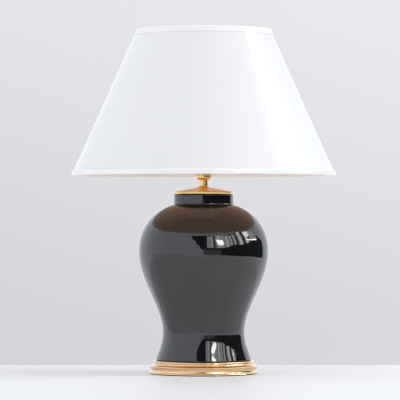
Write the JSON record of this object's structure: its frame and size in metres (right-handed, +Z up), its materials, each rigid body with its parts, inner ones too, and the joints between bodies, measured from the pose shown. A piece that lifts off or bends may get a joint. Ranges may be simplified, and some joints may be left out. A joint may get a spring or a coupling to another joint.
{
  "type": "table lamp",
  "caption": "Table lamp: black glazed baluster jar on a round brass plinth, brass cap and neck, large white empire shade on a wire carrier, turn-switch lampholder and screw bulb.",
  "frame": {"origin": "on the table, at the middle of the felt pad's underside, on the lamp's axis", "axes": "+Z up along the lamp's axis; +X towards the switch knob; +Y towards the cord outlet at the back"},
  "size_m": [0.5514, 0.5514, 0.7186],
  "materials": {
    "glaze": "high gloss black glaze over stoneware",
    "gilt": "cast brass plinth, satin gilt lacquer",
    "brass": "polished and lacquered spun brass",
    "carrier_brass": "brass-plated steel wire and stampings",
    "steel": "zinc-plated steel",
    "white_wire": "white powder-coated steel wire",
    "iron": "raw cast iron",
    "felt": "self-adhesive wool felt",
    "rubber": "moulded black rubber",
    "beech": "turned beech, unfinished",
    "porcelain": "white electrical porcelain",
    "clamp_plastic": "white moulded plastic",
    "fibre": "vulcanised fibre",
    "phenolic": "black moulded phenolic",
    "nickel": "nickel plate",
    "shade_white": "glossy white laminate",
    "shade_lining": "warm satin lining",
    "opal": "frosted opal diffuser",
    "bulb_white": "white moulded heat-sink housing",
    "circuit": "white solder mask"
  },
  "bodies": {
    "stand": {"felt_pad": "felt", "base_plinth": "gilt", "base_weight": "iron", "base_washer": "steel", "base_nut": "steel", "threaded_rod": "steel", "cord_outlet": "rubber", "jar_gasket": "rubber", "jar_body": "glaze", "cap_gasket": "rubber", "vase_cap": "brass", "cap_centring_plug": "beech", "neck_collar": "brass", "neck_tube": "brass", "socket_cup": "brass", "cup_lock_nut": "steel", "socket_shell": "brass", "socket_liner": "fibre", "socket_body": "porcelain", "terminal_screw_live": "brass", "terminal_screw_neutral": "nickel", "screw_shell": "nickel", "centre_contact": "brass", "switch_bushing": "brass", "carrier_base_ring": "carrier_brass", "carrier_bow": "carrier_brass", "carrier_stud": "carrier_brass"},
    "clamp": {"carrier_clamp_ring": "clamp_plastic"},
    "switch": {"switch_rotor": "phenolic", "switch_shaft": "steel", "switch_knob": "phenolic"},
    "bulb": {"bulb_tip_contact": "nickel", "bulb_insulator": "phenolic", "bulb_screw_cap": "nickel", "bulb_housing": "bulb_white", "led_board": "circuit", "bulb_dome": "opal"},
    "washer": {"shade_washer": "nickel"},
    "shade": {"shade_cover": "shade_white", "shade_lining": "shade_lining", "shade_ring_bottom": "white_wire", "shade_ring_top": "white_wire", "shade_hem_bottom": "shade_white", "shade_hem_top": "shade_white", "spider_hub": "white_wire", "spider_arm_1": "white_wire", "spider_arm_2": "white_wire", "spider_arm_3": "white_wire"},
    "finial": {"finial": "brass"}
  },
  "joints": [
    {"name": "switch_turn", "type": "hinge", "parent": "stand", "child": "switch", "pos_m": [0.0272, 0, 0.432], "axis": [1, 0, 0], "continuous": true},
    {"name": "clamp_ring_turn", "type": "hinge", "parent": "stand", "child": "clamp", "pos_m": [0, 0, 0.457], "axis": [0, 0, 1], "continuous": true},
    {"name": "bulb_lift", "type": "slide", "parent": "stand", "child": "bulb", "axis": [0, 0, 1], "range_m": [0, 0.08]},
    {"name": "shade_lift", "type": "slide", "parent": "stand", "child": "washer", "axis": [0, 0, 1], "range_m": [0, 0.3]},
    {"name": "shade_turn", "type": "hinge", "parent": "washer", "child": "shade", "pos_m": [0, 0, 0.6945], "axis": [0, 0, 1], "continuous": true},
    {"name": "finial_turn", "type": "hinge", "parent": "washer", "child": "finial", "pos_m": [0, 0, 0.706], "axis": [0, 0, 1], "continuous": true}
  ]
}
